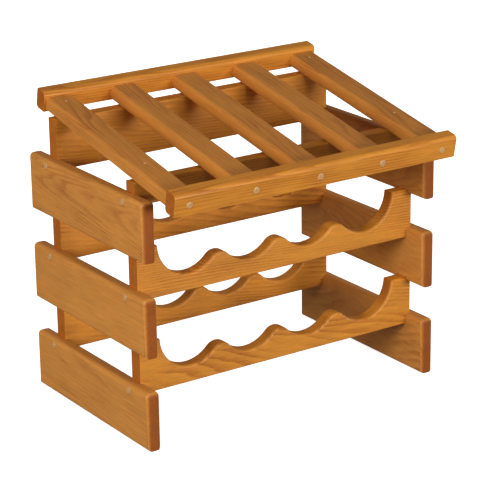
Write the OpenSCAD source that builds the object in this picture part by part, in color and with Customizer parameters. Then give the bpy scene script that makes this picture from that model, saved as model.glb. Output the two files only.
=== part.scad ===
// Twelve-bottle wooden wine rack: two tiers of scalloped rails between six side boards,
// with a sloping display top for four more bottles. Hardwood, doweled and glued.
// The front of the rack faces -Y. The origin is on the floor, under the middle of the whole rack,
// which is a little in front of the middle of the side boards because the display top overhangs.

/* [Side boards] */
// Width over the outer faces of the side boards
rack_width = 443; // [400:1:480]
// Length of a side board, front to back
board_length = 274; // [250:1:300]
// Height of a side board
board_height = 76; // [72:1:84]
// Thickness of a side board
board_thickness = 19; // [16:1:22]
// Radius of the round-over along a side board's edges
board_round = 6; // [3:0.5:7]
// Height from one side board to the one above it
tier_pitch = 121; // [115:1:130]

/* [Rails] */
// Thickness of the rails and support boards
rail_thickness = 19; // [16:1:20]
// Height of a rail's ends, and of the rear support board
rail_height = 65.5; // [64:0.5:67]
// Height of the front support board
low_support_height = 28.7; // [26:0.1:36]
// Height of a rail's lower edge above the bottom of its side boards
rail_lift = 61.5; // [60:0.5:62]
// Distance from the end of a side board to the outer face of a rail
rail_inset = 35; // [28:1:42]
// Depth of the housing that a rail's end sits in
housing_depth = 7; // [5:0.5:9]
// Ease on the lower edges of a rail
rail_ease = 1.5; // [1:0.5:2]

/* [Bottle scallops] */
// Bottles in a tier
bottles = 4; // [3:1:4]
// Spacing of the bottles in a tier
bottle_pitch = 89; // [87:1:90]
// Radius of a scallop
scallop_radius = 45; // [44.5:0.5:46]
// Height of a scallop's centre above the top of a rail's ends
scallop_rise = 1.2; // [0.5:0.1:2]
// Radius of the knuckle between two scallops
knuckle_radius = 18; // [17:0.5:19]
// Radius of the round-over along the scalloped edge
scallop_round = 3.5; // [2.5:0.5:4]

/* [Display top] */
// Stiles in the display top
stiles = 5; // [4:1:5]
// Spacing of the stiles
stile_pitch = 94; // [90:1:96]
// Width of a stile
stile_width = 36; // [30:1:40]
// Thickness of a stile
stile_thickness = 17; // [15:1:19]
// Length of a stile between the two display rails
stile_length = 288; // [270:1:300]
// How far the stiles reach down the slope from the middle of the rack
stile_reach = 172.5; // [165:0.5:180]
// Radius of the round-over along a stile's upper edges
stile_round = 5; // [3:0.5:6]
// Height of the display top's front rail
ledge_height = 29; // [27:1:32]
// Height of the display top's rear rail
back_rail_height = 26; // [24:1:30]
// How far the front rail hangs below the stiles
ledge_drop = 4; // [2:0.5:6]
// How far the rear rail hangs below the stiles
back_rail_drop = 2.5; // [1:0.5:4]
// Radius on the front upper and rear lower edges of the display rails
display_rail_round = 6; // [3:0.5:7]

/* [Dowels] */
// Diameter of the dowels
dowel_diameter = 9.5; // [6:0.5:10]
// How far a dowel's outer end stands proud of the wood, as a low button
dowel_proud = 0.8; // [0.2:0.1:1.2]
// How far a dowel goes into the end of a rail or support board
dowel_grip = 28; // [20:1:32]
// How far a dowel goes into the end of a stile, short of the nails
stile_dowel_grip = 16; // [12:1:16]
// Height of a dowel above the lower edge of its rail
dowel_lift = 6; // [5.5:0.5:8]
// Height of a dowel above the underside of its stile
stile_dowel_lift = 9; // [7:0.5:10]

/* [Nails] */
// Diameter of the nails that hold the display top
nail_diameter = 2.5; // [2:0.1:3.2]
// How far a nail goes down into a support board
nail_grip = 16; // [10:1:17]

/* [Hidden] */

$fn = 64;
oak = "#BD7A38";
light_oak = "#CB8438";
dowel_oak = "#D2A36C";
nail_steel = "#B9B4AC";

overrun = 1;              // how far a cutter runs past the face it cuts
cutter_shift = 0.15;      // a round-over cutter stands off its face by this much
tiers = 2;
levels = tiers + 1;       // side boards in a stack

half_width = rack_width / 2;
rail_end = half_width - board_thickness + housing_depth;
rail_length = 2 * rail_end;
rail_centre = board_length / 2 - rail_inset - rail_thickness / 2;
support_bottom = tiers * tier_pitch + rail_lift;

// The display top lies on the front upper edges of the two support boards
slope = atan((rail_height - low_support_height) / (2 * rail_centre));
slope_base = support_bottom + low_support_height + (rail_centre + rail_thickness / 2) * tan(slope);

// How far the display top's front rail reaches in front of the middle of the side boards,
// and the Y at which that middle stands so that the whole rack is centred front to back
rail_round_y = stile_reach + rail_thickness - display_rail_round;
rail_round_z = ledge_height - ledge_drop - display_rail_round;
front_reach = rail_round_y * cos(slope) + rail_round_z * sin(slope) + display_rail_round;
middle_y = (front_reach - board_length / 2) / 2;

knuckle_overlap = 0.15;   // a knuckle's arc runs this far into the scallops, so that the two cross cleanly
knuckle_drop = sqrt(pow(scallop_radius + knuckle_radius - knuckle_overlap, 2) - pow(bottle_pitch / 2, 2));
scallop_centre = rail_height + scallop_rise;
knuckle_centre = scallop_centre - knuckle_drop;

function stile_x(i) = (i - (stiles - 1) / 2) * stile_pitch;
function scallop_x(i) = (i - (bottles - 1) / 2) * bottle_pitch;
function row_y(row) = middle_y + row * rail_centre;   // row is -1 in front and 1 behind

// ---- shared shapes ----

// A rectangle with four corners of radius r, centred on the origin
module rounded_rectangle(w, h, r) {
    square([w - 2 * r, h], center = true);
    square([w, h - 2 * r], center = true);
    for (x = [-1, 1], y = [-1, 1]) {
        translate([x * (w / 2 - r), y * (h / 2 - r)]) circle(r);
    }
}

// Fills the corner of radius r that a square piece would leave outside its arc
module corner_waste(r) {
    difference() {
        translate([-overrun, -overrun]) square(r + overrun);
        translate([r, r]) circle(r);
    }
}

// Turns a section drawn in X and Y into a bar along +X, with the section's X as the rack's Y
module bar_along_x(length) {
    translate([-length / 2, 0, 0]) rotate([90, 0, 90]) linear_extrude(length) children();
}

// A cylinder along +X
module rod_along_x(length, d) {
    rotate([0, 90, 0]) cylinder(h = length, d = d);
}

// Places children in the display top: X across, Y up the slope, Z square to it,
// with Z = 0 on the underside of the stiles
module on_slope() {
    translate([0, middle_y, slope_base]) rotate([slope, 0, 0]) children();
}

// Left and right ends of the rails, each with the board's outside to -X
module each_side() {
    children();
    mirror([1, 0, 0]) children();
}

// ---- side boards ----

module side_board_blank() {
    intersection() {
        rotate([90, 0, 0]) {
            linear_extrude(board_length, center = true) {
                rounded_rectangle(board_thickness, board_height, board_round);
            }
        }
        linear_extrude(board_height, center = true) {
            rounded_rectangle(board_thickness, board_length, board_round);
        }
    }
}

// A left side board at a level from 0 to 2. Rails sit in housings in its upper edge,
// and the horns of the rails below it reach into notches in its lower edge.
module left_side_board(level) {
    base = level * tier_pitch;
    housing = housing_depth + overrun;
    difference() {
        translate([-half_width + board_thickness / 2, middle_y, base + board_height / 2]) side_board_blank();
        for (y = [row_y(-1), row_y(1)]) {
            translate([-rail_end, y - rail_thickness / 2, base + rail_lift]) {
                cube([housing, rail_thickness, board_height]);
            }
            translate([-half_width - overrun, y, base + rail_lift + dowel_lift]) {
                rod_along_x(board_thickness + 2 * overrun, dowel_diameter);
            }
            if (level > 0) {
                notch = rail_lift + rail_height - tier_pitch;
                translate([-rail_end, y - rail_thickness / 2, base - overrun]) {
                    cube([housing, rail_thickness, notch + overrun]);
                }
            }
        }
    }
}

// ---- rails ----

// Section of a rail: rounded above, eased below, with its underside at 0
module rail_section(height, top_round) {
    difference() {
        translate([-rail_thickness / 2, 0]) square([rail_thickness, height]);
        for (side = [0, 1]) {
            mirror([side, 0]) {
                translate([-rail_thickness / 2, 0]) corner_waste(rail_ease);
                translate([-rail_thickness / 2, height]) mirror([0, 1]) corner_waste(top_round);
            }
        }
    }
}

// Cuts one scallop, flared at both faces for the round-over. Its axis lies along Y.
module scallop_cutter() {
    half = rail_thickness / 2;
    arc_height = half - scallop_round + cutter_shift;
    flare = scallop_radius + scallop_round;
    rotate([90, 0, 0]) rotate_extrude($fn = 96) {
        translate([0, -half - overrun]) square([scallop_radius, 2 * (half + overrun)]);
        for (side = [0, 1]) {
            mirror([0, side]) difference() {
                translate([0, arc_height]) square([flare, half + overrun - arc_height]);
                translate([flare, arc_height]) circle(scallop_round);
            }
        }
    }
}

// The rounded top of a knuckle, as a disc with its axis along Y
module knuckle_disc() {
    half = rail_thickness / 2;
    arc_height = half - scallop_round + cutter_shift;
    core = knuckle_radius - scallop_round;
    rotate([90, 0, 0]) rotate_extrude() {
        translate([0, -half - 2 * overrun]) square([core, 2 * half + 4 * overrun]);
        translate([0, -arc_height]) square([knuckle_radius, 2 * arc_height]);
        for (side = [-1, 1]) {
            translate([core, side * arc_height]) circle(scallop_round);
        }
    }
}

// Waste above one knuckle: a wedge from its centre out to the centres of the scallops beside it
module knuckle_waste() {
    difference() {
        rotate([90, 0, 0]) linear_extrude(rail_thickness + 2 * overrun, center = true) {
            polygon([[0, 0], [bottle_pitch / 2, knuckle_drop], [-bottle_pitch / 2, knuckle_drop]]);
        }
        knuckle_disc();
    }
}

// Bores for the dowels in both ends of a rail
module end_bores() {
    each_side() {
        translate([-rail_end - overrun, 0, dowel_lift]) rod_along_x(dowel_grip + overrun, dowel_diameter);
    }
}

// A scalloped rail on its own, with its underside at 0
module scalloped_rail() {
    difference() {
        bar_along_x(rail_length) rail_section(rail_height, scallop_round);
        for (i = [0:bottles - 2]) {
            translate([scallop_x(i) + bottle_pitch / 2, 0, knuckle_centre]) knuckle_waste();
        }
        for (i = [0:bottles - 1]) {
            translate([scallop_x(i), 0, scallop_centre]) scallop_cutter();
        }
        end_bores();
    }
}

module placed_rail(tier, row) {
    color(light_oak) translate([0, row_y(row), tier * tier_pitch + rail_lift]) scalloped_rail();
}

// A plain support board under the display top
module support_board(row, height) {
    color(oak) difference() {
        translate([0, row_y(row), support_bottom]) {
            difference() {
                translate([-rail_end, -rail_thickness / 2, 0]) cube([rail_length, rail_thickness, height]);
                end_bores();
            }
        }
        nail_rods(row);
    }
}

// ---- display top ----

// Section of a stile: X across and Y square to the slope, rounded on the upper edges
module stile_section() {
    difference() {
        translate([-stile_width / 2, 0]) square([stile_width, stile_thickness]);
        for (side = [0, 1]) {
            mirror([side, 0]) {
                translate([-stile_width / 2, stile_thickness]) {
                    mirror([0, 1]) corner_waste(stile_round);
                }
                translate([-stile_width / 2, 0]) corner_waste(rail_ease);
            }
        }
    }
}

module display_stile(i) {
    color(oak) difference() {
        on_slope() translate([stile_x(i), -stile_reach, 0]) difference() {
            rotate([90, 0, 0]) translate([0, 0, -stile_length]) linear_extrude(stile_length) {
                stile_section();
            }
            for (y = [-overrun, stile_length - stile_dowel_grip]) {
                translate([0, y, stile_dowel_lift]) {
                    rotate([-90, 0, 0]) cylinder(h = stile_dowel_grip + overrun, d = dowel_diameter);
                }
            }
        }
        for (row = [-1, 1]) {
            nail_rods(row);
        }
    }
}

// Section of a display rail, in the slope's Y and Z: square on two corners,
// rounded on the front upper and the rear lower edge
module display_rail_section(height) {
    difference() {
        square([rail_thickness, height]);
        translate([0, height]) mirror([0, 1]) corner_waste(display_rail_round);
        translate([rail_thickness, 0]) mirror([1, 0]) corner_waste(display_rail_round);
    }
}

// y is the face that is lower on the slope, z the underside
module display_rail(y, z, height) {
    color(light_oak) on_slope() difference() {
        translate([0, y, z]) bar_along_x(rail_length) display_rail_section(height);
        for (i = [0:stiles - 1]) {
            translate([stile_x(i), y - overrun, stile_dowel_lift]) rotate([-90, 0, 0]) {
                cylinder(h = rail_thickness + 2 * overrun, d = dowel_diameter);
            }
        }
    }
}

// ---- dowels ----

// Dowels through the left side boards into the ends of the rails and support boards
module left_dowels() {
    for (level = [0:levels - 1], y = [row_y(-1), row_y(1)]) {
        translate([-half_width - dowel_proud, y, level * tier_pitch + rail_lift + dowel_lift]) {
            rod_along_x(dowel_proud + half_width - rail_end + dowel_grip, dowel_diameter);
        }
    }
}

// A row of dowels through a display rail into the stiles, from y along the slope
module display_dowels(y) {
    color(dowel_oak) on_slope() for (i = [0:stiles - 1]) {
        translate([stile_x(i), y, stile_dowel_lift]) rotate([-90, 0, 0]) {
            cylinder(h = dowel_proud + rail_thickness + stile_dowel_grip, d = dowel_diameter);
        }
    }
}

// ---- nails ----

// Upright rods where the two outer stiles are nailed to the support board of a row
module nail_rods(row) {
    top = row < 0 ? low_support_height : rail_height;
    for (i = [0, stiles - 1]) {
        translate([stile_x(i), row_y(row), support_bottom + top - nail_grip]) {
            cylinder(h = nail_grip + 2 * stile_thickness, d = nail_diameter);
        }
    }
}

// The nails themselves, set flush with the upper face of the stiles
module display_nails() {
    color(nail_steel) difference() {
        for (row = [-1, 1]) {
            nail_rods(row);
        }
        on_slope() translate([-half_width, -board_length / 2, stile_thickness]) {
            cube([rack_width, board_length, 3 * stile_thickness]);
        }
    }
}

// ---- the nodes ----

module left_board_node(level) { color(oak) left_side_board(level); }
module right_board_node(level) { color(oak) mirror([1, 0, 0]) left_side_board(level); }
module left_dowels_node() { color(dowel_oak) left_dowels(); }
module right_dowels_node() { color(dowel_oak) mirror([1, 0, 0]) left_dowels(); }
module front_ledge() { display_rail(-stile_reach - rail_thickness, -ledge_drop, ledge_height); }
module back_rail() { display_rail(stile_length - stile_reach, -back_rail_drop, back_rail_height); }
module front_dowels() { display_dowels(-stile_reach - rail_thickness - dowel_proud); }
module rear_dowels() { display_dowels(stile_length - stile_reach - stile_dowel_grip); }

left_board_node(0);  // left_side_board_lower
left_board_node(1);  // left_side_board_middle
left_board_node(2);  // left_side_board_upper
right_board_node(0);  // right_side_board_lower
right_board_node(1);  // right_side_board_middle
right_board_node(2);  // right_side_board_upper
placed_rail(0, -1);  // front_rail_lower
placed_rail(0, 1);  // rear_rail_lower
placed_rail(1, -1);  // front_rail_upper
placed_rail(1, 1);  // rear_rail_upper
support_board(-1, low_support_height);  // front_support_board
support_board(1, rail_height);  // rear_support_board
display_stile(0);  // display_stile_1
display_stile(1);  // display_stile_2
display_stile(2);  // display_stile_3
display_stile(3);  // display_stile_4
display_stile(4);  // display_stile_5
front_ledge();  // display_front_rail
back_rail();  // display_rear_rail
left_dowels_node();  // left_side_dowels
right_dowels_node();  // right_side_dowels
front_dowels();  // display_front_dowels
rear_dowels();  // display_rear_dowels
display_nails();
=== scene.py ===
import math

import bmesh
import bpy
from mathutils import Matrix, Vector


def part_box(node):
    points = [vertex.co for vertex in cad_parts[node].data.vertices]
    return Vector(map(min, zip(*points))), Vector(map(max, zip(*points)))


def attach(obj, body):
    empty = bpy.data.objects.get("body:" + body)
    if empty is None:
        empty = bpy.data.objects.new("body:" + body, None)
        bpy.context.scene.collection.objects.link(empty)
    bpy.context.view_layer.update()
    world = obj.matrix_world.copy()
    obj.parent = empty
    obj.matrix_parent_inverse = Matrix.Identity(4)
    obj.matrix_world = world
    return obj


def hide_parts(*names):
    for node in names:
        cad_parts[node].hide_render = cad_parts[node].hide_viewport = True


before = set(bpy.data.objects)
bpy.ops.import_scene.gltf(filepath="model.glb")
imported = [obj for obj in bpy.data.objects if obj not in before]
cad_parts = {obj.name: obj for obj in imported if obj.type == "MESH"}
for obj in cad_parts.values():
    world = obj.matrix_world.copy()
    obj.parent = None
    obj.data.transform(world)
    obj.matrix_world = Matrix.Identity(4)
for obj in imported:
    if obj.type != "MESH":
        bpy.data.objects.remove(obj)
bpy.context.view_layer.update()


# ---- Side boards ----
# Six flat boards of red oak stand on edge in two stacks, three a side, with an open gap between them.
# Each is planed, rounded over with a router along its long edges, up its ends and over its two upper
# corners, and housed across its inner face for the rails. Medium oak stain, then satin lacquer.

MM = 0.001
ACROSS = Vector((1, 0, 0))   # from one side of the rack to the other
BACK = Vector((0, 1, 0))     # from its front to its back
BOARD_ROUND = 6 * MM
ROUND_STEPS = 8
EASE = 0.6 * MM              # sanding takes this much off an arris
EASE_STEPS = 2
CORNER = math.radians(40)    # faces that meet at more than this make a corner
JOINT_GAP = 0.12 * MM        # play of a rail in its housing
DOWEL_RADIUS = 4.75 * MM
DOWEL_LIFT = 6 * MM          # a dowel's height above the lower edge of its rail
BORE_GAP = 0.15 * MM         # play of a dowel in its bore
ROD_SIDES = 48
SMOOTH_ANGLE = math.radians(32)

CROSS_PIECES = (
    "front_rail_lower", "rear_rail_lower", "front_rail_upper", "rear_rail_upper",
    "front_support_board", "rear_support_board",
)


def only(piece):
    """Makes a piece the one that is selected and active."""
    bpy.ops.object.select_all(action="DESELECT")
    piece.select_set(True)
    bpy.context.view_layer.objects.active = piece


def block(name, low, high):
    """A squared blank between two corners, with its place in its mesh."""
    bpy.ops.object.select_all(action="DESELECT")
    bpy.ops.mesh.primitive_cube_add(size=1, location=(low + high) / 2, scale=high - low)
    bpy.ops.object.transform_apply(location=True, rotation=True, scale=True)
    piece = bpy.context.object
    piece.name = piece.data.name = name
    return piece


def rod(name, start, end, radius, sides=ROD_SIDES):
    """A round rod from one point to another, with its place in its mesh."""
    bpy.ops.object.select_all(action="DESELECT")
    run = end - start
    bpy.ops.mesh.primitive_cylinder_add(
        vertices=sides, radius=radius, depth=run.length, location=(start + end) / 2,
        rotation=run.to_track_quat("Z", "Y").to_euler(),
    )
    bpy.ops.object.transform_apply(location=True, rotation=True, scale=True)
    piece = bpy.context.object
    piece.name = piece.data.name = name
    return piece


def joined(name, pieces):
    """Several loose solids as one object."""
    only(pieces[0])
    for piece in pieces[1:]:
        piece.select_set(True)
    bpy.ops.object.join()
    pieces[0].name = pieces[0].data.name = name
    return pieces[0]


def copy_of(piece, name, shift):
    """A copy with its own mesh, moved by a vector."""
    twin = piece.copy()
    twin.data = piece.data.copy()
    twin.name = twin.data.name = name
    bpy.context.scene.collection.objects.link(twin)
    twin.data.transform(Matrix.Translation(shift))
    return twin


def round_over(piece, radius, steps, wanted):
    """Rounds the edges that pass the test, which is given each edge of the piece's mesh."""
    only(piece)
    bpy.ops.object.mode_set(mode="EDIT")
    bpy.ops.mesh.select_mode(type="EDGE")
    bpy.ops.mesh.select_all(action="DESELECT")
    mesh = bmesh.from_edit_mesh(piece.data)
    for edge in mesh.edges:
        if wanted(edge):
            edge.select_set(True)
    bmesh.update_edit_mesh(piece.data)
    bpy.ops.mesh.bevel(
        offset=radius, offset_type="OFFSET", segments=steps, profile=0.5, affect="EDGES", clamp_overlap=False
    )
    bpy.ops.object.mode_set(mode="OBJECT")


def along(edge, direction):
    """Whether an edge runs in a direction, to within about 25 degrees."""
    run = edge.verts[1].co - edge.verts[0].co
    return abs(run.dot(direction)) > 0.9 * run.length


def sharp(edge):
    """Whether an edge is a corner between two faces."""
    return len(edge.link_faces) == 2 and edge.calc_face_angle() > CORNER


def modifier(piece, kind, **settings):
    """Adds a modifier, sets it and applies it."""
    only(piece)
    made = piece.modifiers.new(kind.lower(), kind)
    for key, value in settings.items():
        setattr(made, key, value)
    bpy.ops.object.modifier_apply(modifier=made.name)


def cut(piece, tool):
    """Takes the tool's shape out of a piece."""
    modifier(piece, "BOOLEAN", operation="DIFFERENCE", solver="EXACT", object=tool)


def polish(piece):
    """Smooth rounds beside truly flat faces."""
    only(piece)
    bpy.ops.object.shade_smooth_by_angle(angle=SMOOTH_ANGLE)
    modifier(piece, "WEIGHTED_NORMAL", keep_sharp=True, weight=100)


def remove(*pieces):
    """Clears away blanks and cutting tools that are no longer needed."""
    for piece in pieces:
        bpy.data.objects.remove(piece)


def finish(piece, node, material):
    """Gives a piece its material and its place in the frame."""
    piece.data.materials.clear()
    piece.data.materials.append(material)
    polish(piece)
    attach(piece, "root")
    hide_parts(node)


def srgb(text):
    """An sRGB hex colour as linear RGBA."""
    parts = [int(text[i:i + 2], 16) / 255 for i in (1, 3, 5)]
    return [c / 12.92 if c <= 0.04045 else ((c + 0.055) / 1.055) ** 2.4 for c in parts] + [1]


def bare_material(name):
    """A new material with nothing in its node tree."""
    made = bpy.data.materials.new(name)
    made.use_nodes = True
    made.node_tree.nodes.clear()
    return made


def add(tree, kind, settings):
    """Adds a shader node. A lower-case setting is a property, and `stops` are a ramp's pairs of a place and
    a colour or grey. Any other is an input, which takes a value, a socket, or a node for its first output."""
    made = tree.nodes.new(kind)
    for key, value in settings.items():
        if isinstance(value, bpy.types.Node):
            value = value.outputs[0]
        if key == "stops":
            bar = made.color_ramp.elements
            while len(bar) < len(value):
                bar.new(0.5)
            for element, (place, colour) in zip(bar, value):
                element.position = place
                element.color = colour if isinstance(colour, list) else [colour, colour, colour, 1]
        elif isinstance(key, str) and key[0].islower():
            setattr(made, key, value)
        elif isinstance(value, bpy.types.NodeSocket):
            tree.links.new(value, made.inputs[key])
        else:
            made.inputs[key].default_value = value
    return made


# How wide across the grain and how long along it each pattern in the wood is, in mm
RING_WANDER = (45, 240)
RING_WOBBLE = (7, 50)
CLEAR_FIGURE = (30, 90)      # patches where the rings show clearly
FIBRE = (1.4, 32)
STREAK = (5, 160)
BLOTCH = (26, 52)            # patches that took more of the stain
PORE = (0.8, 14)             # real pores are 0.3 mm wide, too fine to show, so they are drawn coarser
# How far the rings stray from true circles, in mm
WANDER_REACH = 16
WOBBLE_REACH = 1.6
# Colours of late wood, early wood and pores, what end grain takes away from them, and a year's growth in mm
BOARD_WOOD = {"late": "#D08A3C", "early": "#A65722", "pore": "#713516", "end": "#BD964A", "ring": 2.7}


def oak(node, grain, heart, wood, lean, figure, tone=1.0):
    """Stained red oak under satin lacquer. The rings circle the heart of the tree, a line along the grain
    that lies `heart` mm from the middle of the node and leans by two angles in degrees. Faces cut them into
    fine arcs, and the early wood of each year is a darker band of long open pores, as strong as `figure`.
    End grain drinks more of the stain. `tone` makes a board lighter or darker than its neighbours."""
    made = bare_material(f"red_oak_{node}")
    tree = made.node_tree
    turn = grain.to_track_quat("Z", "Y").to_matrix()
    tilt = Matrix.Rotation(math.radians(lean[0]), 3, "X") @ Matrix.Rotation(math.radians(lean[1]), 3, "Y")
    here = add(tree, "ShaderNodeTexCoord", {})
    in_tree = add(tree, "ShaderNodeMapping", {
        "vector_type": "TEXTURE",
        "Vector": here.outputs["Object"],
        "Location": sum(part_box(node), Vector()) / 2 + Vector(heart) * MM,
        "Rotation": (turn @ tilt).to_euler(),
        "Scale": [MM] * 3,
    })

    def patches(size, detail):
        """Soft light and dark patches of a width across the grain and a length along it."""
        width, length = size
        drawn_out = add(tree, "ShaderNodeVectorMath", {
            "operation": "MULTIPLY", 0: in_tree, 1: (1, 1, width / length),
        })
        return add(tree, "ShaderNodeTexNoise", {
            "Vector": drawn_out, "Scale": 1 / width, "Detail": detail, "Roughness": 0.55,
        })

    def layered(base, *layers):
        """A base with layers added to it, each with its weight."""
        for layer, weight in layers:
            base = add(tree, "ShaderNodeMath", {"operation": "MULTIPLY_ADD", 0: layer, 1: weight, 2: base})
        return base

    # Each year starts suddenly, with porous early wood, and fades into dense late wood
    flat = add(tree, "ShaderNodeVectorMath", {"operation": "MULTIPLY", 0: in_tree, 1: (1, 1, 0)})
    radius = add(tree, "ShaderNodeVectorMath", {"operation": "LENGTH", 0: flat}).outputs["Value"]
    growth = layered(radius, (patches(RING_WANDER, 1), WANDER_REACH), (patches(RING_WOBBLE, 2), WOBBLE_REACH))
    years = add(tree, "ShaderNodeMath", {"operation": "DIVIDE", 0: growth, 1: wood["ring"]})
    season = add(tree, "ShaderNodeMath", {"operation": "FRACT", 0: years})
    band = add(tree, "ShaderNodeValToRGB", {
        "Fac": season, "stops": [(0.0, 0.1), (0.12, 1.0), (0.35, 0.7), (0.65, 0.15), (1.0, 0.0)],
    })
    clear = add(tree, "ShaderNodeValToRGB", {
        "Fac": patches(CLEAR_FIGURE, 1), "stops": [(0.38, 0.15), (0.62, 1.0)],
    })
    early = add(tree, "ShaderNodeMath", {"operation": "MULTIPLY", 0: band, 1: clear})

    # Most pores lie in the early wood
    pits = add(tree, "ShaderNodeValToRGB", {"Fac": patches(PORE, 1), "stops": [(0.56, 0.0), (0.68, 1.0)]})
    pores = add(tree, "ShaderNodeMath", {"operation": "MULTIPLY", 0: pits, 1: layered(0.2, (early, 0.8))})

    # Early wood and pores darken the late wood, and its fibres and the stain make it uneven
    fibre = patches(FIBRE, 3)
    colour = srgb(wood["late"])
    for part, layer, strength in (("early", early, figure), ("pore", pores, 0.7 * figure)):
        colour = add(tree, "ShaderNodeMix", {
            "data_type": "RGBA", 0: layered(0, (layer, strength)), 6: colour, 7: srgb(wood[part]),
        }).outputs[2]
    shade = layered(0, (fibre, 0.45), (patches(STREAK, 2), 0.3), (patches(BLOTCH, 3), 0.25))
    uneven = add(tree, "ShaderNodeValToRGB", {
        "Fac": shade, "stops": [(0.32, 0.8 * tone), (0.68, 1.17 * tone)],
    })
    facing = add(tree, "ShaderNodeVectorMath", {
        "operation": "DOT_PRODUCT", 0: here.outputs["Normal"], 1: grain,
    }).outputs["Value"]
    squareness = add(tree, "ShaderNodeMath", {"operation": "ABSOLUTE", 0: facing})
    end_grain = add(tree, "ShaderNodeValToRGB", {"Fac": squareness, "stops": [(0.55, 0.0), (0.95, 1.0)]})
    for amount, over in ((1.0, uneven), (end_grain, srgb(wood["end"]))):
        colour = add(tree, "ShaderNodeMix", {
            "data_type": "RGBA", "blend_type": "MULTIPLY", 0: amount, 6: colour, 7: over,
        }).outputs[2]

    # Lacquer sinks into the pores and the early wood, and is duller in the pores and on end grain
    relief = layered(0, (fibre, 0.25), (pores, -1.0), (early, -0.25))
    shader = add(tree, "ShaderNodeBsdfPrincipled", {
        "Base Color": colour,
        "Roughness": layered(0.45, (pores, 0.15), (end_grain, 0.25)),
        "Normal": add(tree, "ShaderNodeBump", {"Strength": 0.3, "Distance": 0.1 * MM, "Height": relief}),
        "IOR": 1.5,
        "Specular IOR Level": 0.3,
        "Coat Weight": 0.05,
        "Coat Roughness": 0.3,
    })
    add(tree, "ShaderNodeOutputMaterial", {"Surface": shader})
    return made


cross_boxes = {name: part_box(name) for name in CROSS_PIECES}
dowel_places = [((low.y + high.y) / 2, low.z + DOWEL_LIFT) for low, high in cross_boxes.values()]
play = Vector((JOINT_GAP,) * 3)
housing_blocks = [block("housing", low - play, high + play) for low, high in cross_boxes.values()]
housings = joined("housings", housing_blocks)
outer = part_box("right_side_board_lower")[1].x
inner, dowel_top = (corner.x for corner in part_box("right_side_dowels"))
bore_rods = []
for y, z in dowel_places:
    for side in (-1, 1):
        start = Vector((side * (inner - BORE_GAP), y, z))
        end = Vector((side * (outer + MM), y, z))
        bore_rods.append(rod("bore", start, end, DOWEL_RADIUS + BORE_GAP))
bores = joined("bores", bore_rods)

low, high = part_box("left_side_board_lower")
board_blank = block("board_blank", low, high)
round_over(
    board_blank, BOARD_ROUND, ROUND_STEPS,
    lambda edge: not along(edge, ACROSS) or edge.verts[0].co.z > low.z + BOARD_ROUND,
)
round_over(board_blank, EASE, EASE_STEPS, sharp)

# For each board: where the heart of its tree lay from its middle, in mm, by how many degrees it was sawn
# off the grain, how strong its figure is, and how light it is. Here and below, the distance along the
# grain gives each board its own place in the tree, so that no two have the same pattern.
SAWN = {
    "left_side_board_lower": ((150, 0, 60), (-1, -1.5), 0.28, 1.02),
    "left_side_board_middle": ((-95, 300, -90), (1, 2), 0.22, 1.02),
    "left_side_board_upper": ((60, 600, 30), (-2, -3), 0.52, 1.0),
    "right_side_board_lower": ((80, 900, -8), (2, 3), 0.5, 1.0),
    "right_side_board_middle": ((-66, 1200, 40), (-2, -3), 0.4, 1.03),
    "right_side_board_upper": ((90, 1500, -25), (2, 3), 0.45, 0.97),
}
for node, (heart, lean, figure, tone) in SAWN.items():
    board = copy_of(board_blank, node + "_oak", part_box(node)[0] - low)
    cut(board, housings)
    cut(board, bores)
    finish(board, node, oak(node, BACK, heart, BOARD_WOOD, lean, figure, tone))
remove(board_blank)


# ---- Scalloped rails ----
# Four rails of red oak carry the bottles: a front and a rear one in each tier. Each is bandsawn from a
# board to four round scallops with knuckles between them, routed to a round-over along the scalloped
# edge, and left proud at its ends as horns that reach up to the next side board.

SCALLOPS = 4
SCALLOP_PITCH = 89 * MM
SCALLOP_RADIUS = 45 * MM
SCALLOP_RISE = 1.2 * MM      # a scallop's centre stands this far above the horns
KNUCKLE_RADIUS = 18 * MM
SCALLOP_ROUND = 3.5 * MM
SCALLOP_ROUND_STEPS = 6
RAIL_EASE = 1.5 * MM         # round on a rail's lower edges
RAIL_EASE_STEPS = 3
SCALLOP_STEPS = 40
KNUCKLE_STEPS = 20
STRAIGHT = math.radians(0.5)  # points where a line bends less than this are taken out of it
RAIL_WOOD = {"late": "#D68B2D", "early": "#A85617", "pore": "#713310", "end": "#D4B880", "ring": 3.4}
RAIL_LEAN = (4, 4)           # by how many degrees the rails were sawn off the grain
RAIL_FIGURE = 0.66           # the rails are flat sawn and show more of their grain than the boards


def sweep(centre, angle, steps):
    """Carries the last point of the outline round a centre, anticlockwise as seen from the front."""
    bpy.ops.mesh.spin(
        steps=steps, angle=angle, center=centre, axis=BACK, dupli=False, use_auto_merge=False
    )


def draw_on(x, y, z):
    """Draws what is selected on by a step, as a line from a point or a face from a line."""
    bpy.ops.mesh.extrude_region_move(TRANSFORM_OT_translate={"value": (x, y, z)})


rail_low, rail_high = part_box("front_rail_lower")
rail_size = rail_high - rail_low
scallop_z = rail_high.z + SCALLOP_RISE
half_pitch = SCALLOP_PITCH / 2
knuckle_drop = math.sqrt((SCALLOP_RADIUS + KNUCKLE_RADIUS) ** 2 - half_pitch ** 2)
shoulder = math.asin(SCALLOP_RISE / SCALLOP_RADIUS)
lean_in = math.atan2(knuckle_drop, half_pitch)
horn = rail_high.x - (SCALLOPS - 1) / 2 * SCALLOP_PITCH - SCALLOP_RADIUS * math.cos(shoulder)

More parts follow.
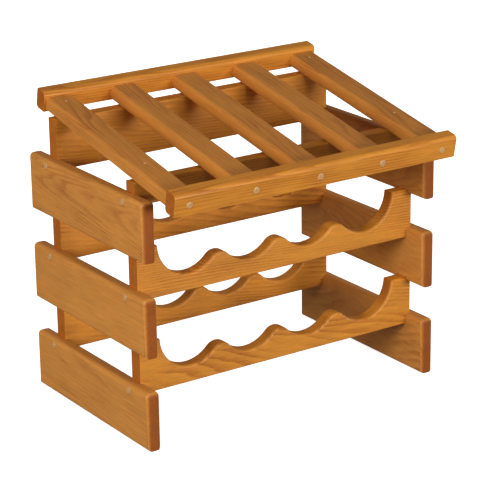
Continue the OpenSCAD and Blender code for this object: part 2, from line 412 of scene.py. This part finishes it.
# The outline starts from one point, the top of the left horn, and runs over the scallops to the right one
bpy.ops.object.select_all(action="DESELECT")
bpy.ops.mesh.primitive_plane_add(size=MM, location=(rail_low.x, rail_low.y, rail_high.z))
bpy.ops.object.transform_apply(location=True, rotation=True, scale=True)
rail_blank = bpy.context.object
bpy.ops.object.mode_set(mode="EDIT")
bpy.ops.mesh.select_mode(type="VERT")
bpy.ops.mesh.select_all(action="SELECT")
bpy.ops.mesh.merge(type="CENTER")
draw_on(horn, 0, 0)
for i in range(SCALLOPS):
    x = (i - (SCALLOPS - 1) / 2) * SCALLOP_PITCH
    first, last = i == 0, i == SCALLOPS - 1
    angle = math.pi - (shoulder if first else lean_in) - (shoulder if last else lean_in)
    sweep((x, rail_low.y, scallop_z), angle, SCALLOP_STEPS)
    if not last:
        sweep((x + half_pitch, rail_low.y, scallop_z - knuckle_drop), 2 * lean_in - math.pi, KNUCKLE_STEPS)
draw_on(horn, 0, 0)

# The face is drawn down from it, cut off level at the rail's lower edge, and given its thickness
bpy.ops.mesh.select_mode(type="EDGE")
bpy.ops.mesh.select_all(action="SELECT")
draw_on(0, 0, -2 * rail_size.z)
bpy.ops.mesh.select_all(action="SELECT")
bpy.ops.mesh.bisect(plane_co=rail_low, plane_no=(0, 0, -1), clear_outer=True)
bpy.ops.mesh.select_all(action="SELECT")
draw_on(0, rail_size.y, 0)
bpy.ops.mesh.select_all(action="SELECT")
bpy.ops.mesh.normals_make_consistent(inside=False)
bpy.ops.mesh.dissolve_limited(angle_limit=STRAIGHT)
bpy.ops.object.mode_set(mode="OBJECT")


def rim(edge):
    """Whether an edge lies on the front or back face, along the scalloped top."""
    middle = (edge.verts[0].co + edge.verts[1].co) / 2
    on_top = middle.z > rail_low.z + MM and rail_low.x < middle.x < rail_high.x
    return sharp(edge) and not along(edge, BACK) and on_top


round_over(rail_blank, SCALLOP_ROUND, SCALLOP_ROUND_STEPS, rim)
round_over(
    rail_blank, RAIL_EASE, RAIL_EASE_STEPS,
    lambda edge: along(edge, ACROSS) and max(v.co.z for v in edge.verts) < rail_low.z + EASE,
)

# Where the heart of each rail's tree lay from its middle, in mm
RAIL_HEARTS = {
    "front_rail_lower": (0, 70, -46),
    "rear_rail_lower": (400, -80, 20),
    "front_rail_upper": (800, 62, 38),
    "rear_rail_upper": (1200, -75, -20),
}
for node, heart in RAIL_HEARTS.items():
    rail = copy_of(rail_blank, node + "_oak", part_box(node)[0] - rail_low)
    cut(rail, bores)
    finish(rail, node, oak(node, ACROSS, heart, RAIL_WOOD, RAIL_LEAN, RAIL_FIGURE))
remove(rail_blank)


# ---- Support boards ----
# Two plain boards of red oak lie across the top of the side boards and hold up the display top. The
# rear one is as high as a rail and the front one less than half as high, which gives the display top
# its slope. Each has a hole at both ends for the nails that hold the outer stiles.

NAIL_RADIUS = 1.25 * MM
NAIL_GRIP = 16 * MM          # how far a nail goes down into its support board
NAIL_RUN = 40 * MM           # how far above the board its hole is cut, right through the stile
PUNCH_RADIUS = 1.6 * MM      # the punch that sets a nail leaves its hole this wide
SUPPORT_LEAN = (3, 2)
SUPPORT_FIGURE = 0.52

# For each board: where the heart of its tree lay from its middle, in mm, and how light it is
SUPPORTS = {
    "front_support_board": ((1600, 80, 10), 0.95),
    "rear_support_board": ((2000, -70, 16), 1.03),
}
nail_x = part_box("display_nails")[1].x - NAIL_RADIUS
nail_feet = []
for node in SUPPORTS:
    low, high = cross_boxes[node]
    for x in (-nail_x, nail_x):
        nail_feet.append(Vector((x, (low.y + high.y) / 2, high.z - NAIL_GRIP)))
hole_run = Vector((0, 0, NAIL_GRIP + NAIL_RUN))
nail_holes = joined("nail_holes", [rod("hole", foot, foot + hole_run, PUNCH_RADIUS) for foot in nail_feet])

for node, (heart, tone) in SUPPORTS.items():
    board = block(node + "_oak", *cross_boxes[node])
    round_over(board, EASE, EASE_STEPS, sharp)
    cut(board, bores)
    cut(board, nail_holes)
    finish(board, node, oak(node, ACROSS, heart, RAIL_WOOD, SUPPORT_LEAN, SUPPORT_FIGURE, tone))
remove(housings, bores)


# ---- Side dowels ----
# Twelve birch dowels lock the rails and support boards to the side boards. They are glued through the
# side boards, and their pale ends stand a little proud of them as low buttons.

DOWEL_EASE = 1.4 * MM        # round of a button's rim
DOWEL_EASE_STEPS = 5
BIRCH_SPECK = 1.1 * MM


def birch(name):
    """Birch under satin lacquer, which is pale and even, with fine pores in its end grain."""
    made = bare_material(name)
    tree = made.node_tree
    here = add(tree, "ShaderNodeTexCoord", {})
    specks = add(tree, "ShaderNodeTexNoise", {
        "Vector": here.outputs["Object"], "Scale": 1 / BIRCH_SPECK, "Detail": 3,
    })
    colour = add(tree, "ShaderNodeValToRGB", {
        "Fac": specks, "stops": [(0.3, srgb("#B8854A")), (0.7, srgb("#DDAB6F"))],
    })
    shader = add(tree, "ShaderNodeBsdfPrincipled", {
        "Base Color": colour, "IOR": 1.5, "Roughness": 0.42, "Coat Weight": 0.25, "Coat Roughness": 0.22,
    })
    add(tree, "ShaderNodeOutputMaterial", {"Surface": shader})
    return made


birch_pale = birch("birch_dowel")
for side, sign in (("left", -1), ("right", 1)):
    pins = []
    for y, z in dowel_places:
        start = Vector((sign * inner, y, z))
        end = Vector((sign * dowel_top, y, z))
        pins.append(rod("dowel", start, end, DOWEL_RADIUS))
    dowels = joined(f"{side}_side_dowels_birch", pins)
    round_over(dowels, DOWEL_EASE, DOWEL_EASE_STEPS, sharp)
    finish(dowels, f"{side}_side_dowels", birch_pale)


# ---- Display top ----
# Five stiles of red oak run down the slope between a rear rail and a front rail, which stands proud of
# them and stops the bottles. The stiles are rounded on top, butted against the rails and doweled.

STILE_WIDTH = 36 * MM
STILE_THICKNESS = 17 * MM
STILE_START = -172.5 * MM    # both are measured up the slope from the middle of the side boards
STILE_END = 115.5 * MM
STILE_PITCH = 94 * MM
STILE_ROUND = 5 * MM
STILES = 5
STILE_WOOD = {"late": "#CE8536", "early": "#9E4F1C", "pore": "#713310", "end": "#BD964A", "ring": 2.7}
STILE_LEAN = (2, 3)
STILE_FIGURE = 0.55
STILE_TONE = 0.98
DISPLAY_RAIL_ROUND = 6 * MM
DISPLAY_RAIL_LEAN = (1, 1)
LEDGE_DROP = 4 * MM          # how far the front rail reaches below the stiles
LEDGE_HEIGHT = 29 * MM
BACK_RAIL_DROP = 2.5 * MM
BACK_RAIL_HEIGHT = 26 * MM
DISPLAY_DOWEL_LIFT = 9 * MM
DOWEL_GRIP = 16 * MM         # how far a dowel goes into a stile

# The stiles lie on the front upper edges of the support boards
front_support, rear_support = cross_boxes["front_support_board"], cross_boxes["rear_support_board"]
slope = math.atan2(rear_support[1].z - front_support[1].z, rear_support[0].y - front_support[0].y)
middle_y = (rear_support[0].y + front_support[1].y) / 2
middle = Vector((0, middle_y, rear_support[1].z - (rear_support[0].y - middle_y) * math.tan(slope)))
incline = Matrix.Translation(middle) @ Matrix.Rotation(slope, 4, "X")
grain_down = Vector((0, math.cos(slope), math.sin(slope)))
stile_xs = [(i - (STILES - 1) / 2) * STILE_PITCH for i in range(STILES)]
rail_thickness = rail_size.y


def lay_on_slope(piece):
    """Turns a piece that was made level, under the middle of the display top, onto the slope."""
    piece.matrix_world = incline
    only(piece)
    bpy.ops.object.transform_apply(location=True, rotation=True, scale=True)


bore_run = Vector((0, rail_thickness + DOWEL_GRIP + BORE_GAP + MM, 0))
display_rods = []
for x in stile_xs:
    for y in (STILE_START - rail_thickness - MM, STILE_END - DOWEL_GRIP - BORE_GAP):
        start = Vector((x, y, DISPLAY_DOWEL_LIFT))
        display_rods.append(rod("bore", start, start + bore_run, DOWEL_RADIUS + BORE_GAP))
display_bores = joined("display_bores", display_rods)

half_width = STILE_WIDTH / 2
stile_blank = block(
    "stile_blank", Vector((-half_width, STILE_START, 0)), Vector((half_width, STILE_END, STILE_THICKNESS))
)
round_over(
    stile_blank, STILE_ROUND, ROUND_STEPS,
    lambda edge: along(edge, BACK) and edge.verts[0].co.z > STILE_THICKNESS / 2,
)
round_over(
    stile_blank, RAIL_EASE, RAIL_EASE_STEPS,
    lambda edge: along(edge, BACK) and max(v.co.z for v in edge.verts) < EASE,
)

# Where the heart of each stile's tree lay from its middle, in mm
STILE_HEARTS = ((20, 2400, -75), (-12, 2800, 80), (15, 3200, -62), (-25, 3600, -80), (8, 4000, 70))
for number, (x, heart) in enumerate(zip(stile_xs, STILE_HEARTS), 1):
    node = f"display_stile_{number}"
    stile = copy_of(stile_blank, node + "_oak", Vector((x, 0, 0)))
    cut(stile, display_bores)
    lay_on_slope(stile)
    if number in (1, STILES):
        cut(stile, nail_holes)
    stained = oak(node, grain_down, heart, STILE_WOOD, STILE_LEAN, STILE_FIGURE, STILE_TONE)
    finish(stile, node, stained)
remove(stile_blank)

for node, heart, y, drop, height in (
    ("display_front_rail", (4400, -60, 25), STILE_START - rail_thickness, LEDGE_DROP, LEDGE_HEIGHT),
    ("display_rear_rail", (4800, 70, -30), STILE_END, BACK_RAIL_DROP, BACK_RAIL_HEIGHT),
):
    low = Vector((rail_low.x, y, -drop))
    high = Vector((rail_high.x, y + rail_thickness, height - drop))

    def upper_front_or_lower_back(edge):
        """Whether an edge is the upper front one or the lower back one."""
        at_back = edge.verts[0].co.y > low.y + MM
        on_top = edge.verts[0].co.z > low.z + MM
        return along(edge, ACROSS) and at_back != on_top

    rail = block(node + "_oak", low, high)
    round_over(rail, DISPLAY_RAIL_ROUND, ROUND_STEPS, upper_front_or_lower_back)
    round_over(rail, EASE, EASE_STEPS, sharp)
    cut(rail, display_bores)
    lay_on_slope(rail)
    finish(rail, node, oak(node, ACROSS, heart, RAIL_WOOD, DISPLAY_RAIL_LEAN, RAIL_FIGURE))
remove(display_bores, nail_holes)

dowel_run = Vector((0, dowel_top - outer + rail_thickness + DOWEL_GRIP, 0))
for node, start_y in (
    ("display_front_dowels", STILE_START + DOWEL_GRIP - dowel_run.y),
    ("display_rear_dowels", STILE_END - DOWEL_GRIP),
):
    pins = []
    for x in stile_xs:
        start = Vector((x, start_y, DISPLAY_DOWEL_LIFT))
        pins.append(rod("dowel", start, start + dowel_run, DOWEL_RADIUS))
    dowels = joined(node + "_birch", pins)
    round_over(dowels, DOWEL_EASE, DOWEL_EASE_STEPS, sharp)
    lay_on_slope(dowels)
    finish(dowels, node, birch_pale)


# ---- Nails ----
# Four finishing nails of drawn steel wire hold the two outer stiles down on the support boards. Their
# heads are punched below the surface, and the holes are filled level with pale wood filler.

NAIL_SIDES = 24
NAIL_TIP = 3 * MM
HEAD_RADIUS = 1.5 * MM
HEAD_HEIGHT = 1.6 * MM
HEAD_TAPER = 0.5 * MM
HEAD_SET = 1.2 * MM          # the head's depth below the surface
FILLER_GAP = 0.03 * MM       # play of the filler in its hole, and its depth below the surface
SCRATCH = 0.3 * MM
SCRATCH_SHAPE = 0.05         # a scratch's width over its length
CRUMB = 0.5 * MM
TOUCH = 0.01 * MM            # points closer than this to a height are at it


def drawn_steel():
    """Bright drawn wire: a half-glossy metal with fine scratches along it from the drawing die."""
    made = bare_material("drawn_steel")
    tree = made.node_tree
    here = add(tree, "ShaderNodeTexCoord", {})
    stretched = add(tree, "ShaderNodeMapping", {
        "Vector": here.outputs["Object"], "Scale": (1, 1, SCRATCH_SHAPE),
    })
    scratches = add(tree, "ShaderNodeTexNoise", {"Vector": stretched, "Scale": 1 / SCRATCH})
    shader = add(tree, "ShaderNodeBsdfPrincipled", {
        "Metallic": 1.0,
        "Base Color": add(tree, "ShaderNodeValToRGB", {
            "Fac": scratches, "stops": [(0.3, srgb("#9C978F")), (0.7, srgb("#C6C1B8"))],
        }),
        "Roughness": add(tree, "ShaderNodeValToRGB", {"Fac": scratches, "stops": [(0.3, 0.3), (0.7, 0.45)]}),
        "Normal": add(tree, "ShaderNodeBump", {"Strength": 0.3, "Distance": 0.02 * MM, "Height": scratches}),
    })
    add(tree, "ShaderNodeOutputMaterial", {"Surface": shader})
    return made


def wood_filler():
    """Sanded wood filler: a matt, pale paste with a fine crumb."""
    made = bare_material("wood_filler")
    tree = made.node_tree
    here = add(tree, "ShaderNodeTexCoord", {})
    crumb = add(tree, "ShaderNodeTexNoise", {"Vector": here.outputs["Object"], "Scale": 1 / CRUMB})
    shader = add(tree, "ShaderNodeBsdfPrincipled", {
        "Base Color": add(tree, "ShaderNodeValToRGB", {
            "Fac": crumb, "stops": [(0.3, srgb("#D8B583")), (0.7, srgb("#EBD0A4"))],
        }),
        "Roughness": 0.75,
        "Normal": add(tree, "ShaderNodeBump", {"Strength": 0.4, "Distance": 0.05 * MM, "Height": crumb}),
    })
    add(tree, "ShaderNodeOutputMaterial", {"Surface": shader})
    return made


def select_end(piece, z):
    """Selects the face of a rod in edit mode at a height."""
    bpy.ops.mesh.select_all(action="DESELECT")
    mesh = bmesh.from_edit_mesh(piece.data)
    for face in mesh.faces:
        face.select_set(all(abs(v.co.z - z) < TOUCH for v in face.verts))
    mesh.select_flush_mode()
    bmesh.update_edit_mesh(piece.data)


nails, fillings = [], []
for foot in nail_feet:
    surface = middle.z + math.tan(slope) * (foot.y - middle.y) + STILE_THICKNESS / math.cos(slope)
    neck = surface - HEAD_SET - HEAD_HEIGHT - HEAD_TAPER
    start, end = (Vector((foot.x, foot.y, z)) for z in (foot.z + NAIL_TIP, neck))
    nail = rod("nail", start, end, NAIL_RADIUS, NAIL_SIDES)
    bpy.ops.object.mode_set(mode="EDIT")
    bpy.ops.mesh.select_mode(type="FACE")
    select_end(nail, foot.z + NAIL_TIP)
    draw_on(0, 0, -NAIL_TIP)
    bpy.ops.mesh.merge(type="COLLAPSE")
    select_end(nail, neck)
    draw_on(0, 0, HEAD_TAPER)
    bpy.ops.transform.resize(value=(HEAD_RADIUS / NAIL_RADIUS, HEAD_RADIUS / NAIL_RADIUS, 1))
    draw_on(0, 0, HEAD_HEIGHT)
    bpy.ops.object.mode_set(mode="OBJECT")
    nails.append(nail)

    start, end = (Vector((foot.x, foot.y, z)) for z in (surface - HEAD_SET, surface + MM))
    filling = rod("filling", start, end, PUNCH_RADIUS - FILLER_GAP)
    bpy.ops.object.mode_set(mode="EDIT")
    bpy.ops.mesh.select_all(action="SELECT")
    bpy.ops.mesh.bisect(
        plane_co=(foot.x, foot.y, surface - FILLER_GAP), plane_no=(0, -math.sin(slope), math.cos(slope)),
        use_fill=True, clear_outer=True,
    )
    bpy.ops.object.mode_set(mode="OBJECT")
    fillings.append(filling)

finish(joined("finishing_nails", nails), "display_nails", drawn_steel())
finish(joined("nail_filler", fillings), "display_nails", wood_filler())


# ---- Studio ----
# A wide white floor, with a strong softbox at the left and another in front, and weaker ones at the
# right, at the rear and overhead. The floor glows, so that it stays pale and even, and the wood neither
# mirrors it nor takes its light.

LAMP_AIM = Vector((0, 0, 0.2))
SURROUND_GLOW = 0.14
FLOOR_SIZE = 30
FLOOR_GLOW = 0.82


def lamp(name, place, width, height, power):
    """A softbox that stands at a place in metres, turned to the rack, with its power in watts."""
    bpy.ops.object.light_add(type="AREA", location=place)
    made = bpy.context.object
    made.name = name
    made.data.shape = "RECTANGLE"
    made.data.size = width
    made.data.size_y = height
    made.data.energy = power
    made.visible_camera = False
    made.rotation_euler = (LAMP_AIM - Vector(place)).to_track_quat("-Z", "Y").to_euler()
    return made


lamp("left_softbox", (-2.3, -0.6, 0.8), 0.9, 0.6, 37)
lamp("front_softbox", (0.4, -2.4, 0.5), 1.0, 0.4, 36)
lamp("top_softbox", (-0.5, -0.7, 2.3), 0.8, 0.8, 8)
lamp("right_softbox", (2.4, -0.2, 0.6), 0.9, 0.5, 20)
rear_softbox = lamp("rear_softbox", (0.3, 2.4, 0.6), 0.9, 0.5, 24)
rear_softbox.visible_glossy = False     # it would shine along every upper edge

surround = bpy.data.worlds.new("white_surround")
surround.use_nodes = True
surround.node_tree.nodes["Background"].inputs["Color"].default_value = (1, 1, 1, 1)
surround.node_tree.nodes["Background"].inputs["Strength"].default_value = SURROUND_GLOW
bpy.context.scene.world = surround

bpy.ops.object.select_all(action="DESELECT")
bpy.ops.mesh.primitive_plane_add(size=FLOOR_SIZE)
floor = bpy.context.object
floor.name = "studio_floor"
paper = bpy.data.materials.new("studio_paper")
paper.use_nodes = True
paper_shader = paper.node_tree.nodes["Principled BSDF"]
paper_shader.inputs["Base Color"].default_value = srgb("#F4F3F0")
paper_shader.inputs["Roughness"].default_value = 0.8
paper_shader.inputs["Emission Color"].default_value = (1, 1, 1, 1)
paper_shader.inputs["Emission Strength"].default_value = FLOOR_GLOW
floor.data.materials.append(paper)
floor.visible_diffuse = False
floor.visible_glossy = False

AIM = Vector((6.29, 23.64, 191.33)) * MM
DISTANCE = 2694.26 * MM
AZIMUTH = math.radians(33.94)     # the camera stands this far to the left of the front
ELEVATION = math.radians(18.79)
ROLL = math.radians(-0.84)
LENS = 156.03                     # its focal length and the sensor's width are in mm
SENSOR_WIDTH = 36
SIGHT = 50                        # how far the camera sees, in metres

ahead = Vector((
    math.sin(AZIMUTH) * math.cos(ELEVATION), math.cos(AZIMUTH) * math.cos(ELEVATION), -math.sin(ELEVATION)
))
level_right = Vector((math.cos(AZIMUTH), -math.sin(AZIMUTH), 0))
level_up = level_right.cross(ahead)
right = math.cos(ROLL) * level_right + math.sin(ROLL) * level_up
up = math.cos(ROLL) * level_up - math.sin(ROLL) * level_right
bpy.ops.object.camera_add()
camera = bpy.context.object
turned = Matrix((right, up, -ahead)).transposed().to_4x4()
camera.matrix_world = Matrix.Translation(AIM - ahead * DISTANCE) @ turned
camera.data.lens = LENS
camera.data.sensor_width = SENSOR_WIDTH
camera.data.clip_end = SIGHT
bpy.context.scene.camera = camera
bpy.context.scene.view_settings.view_transform = "Standard"
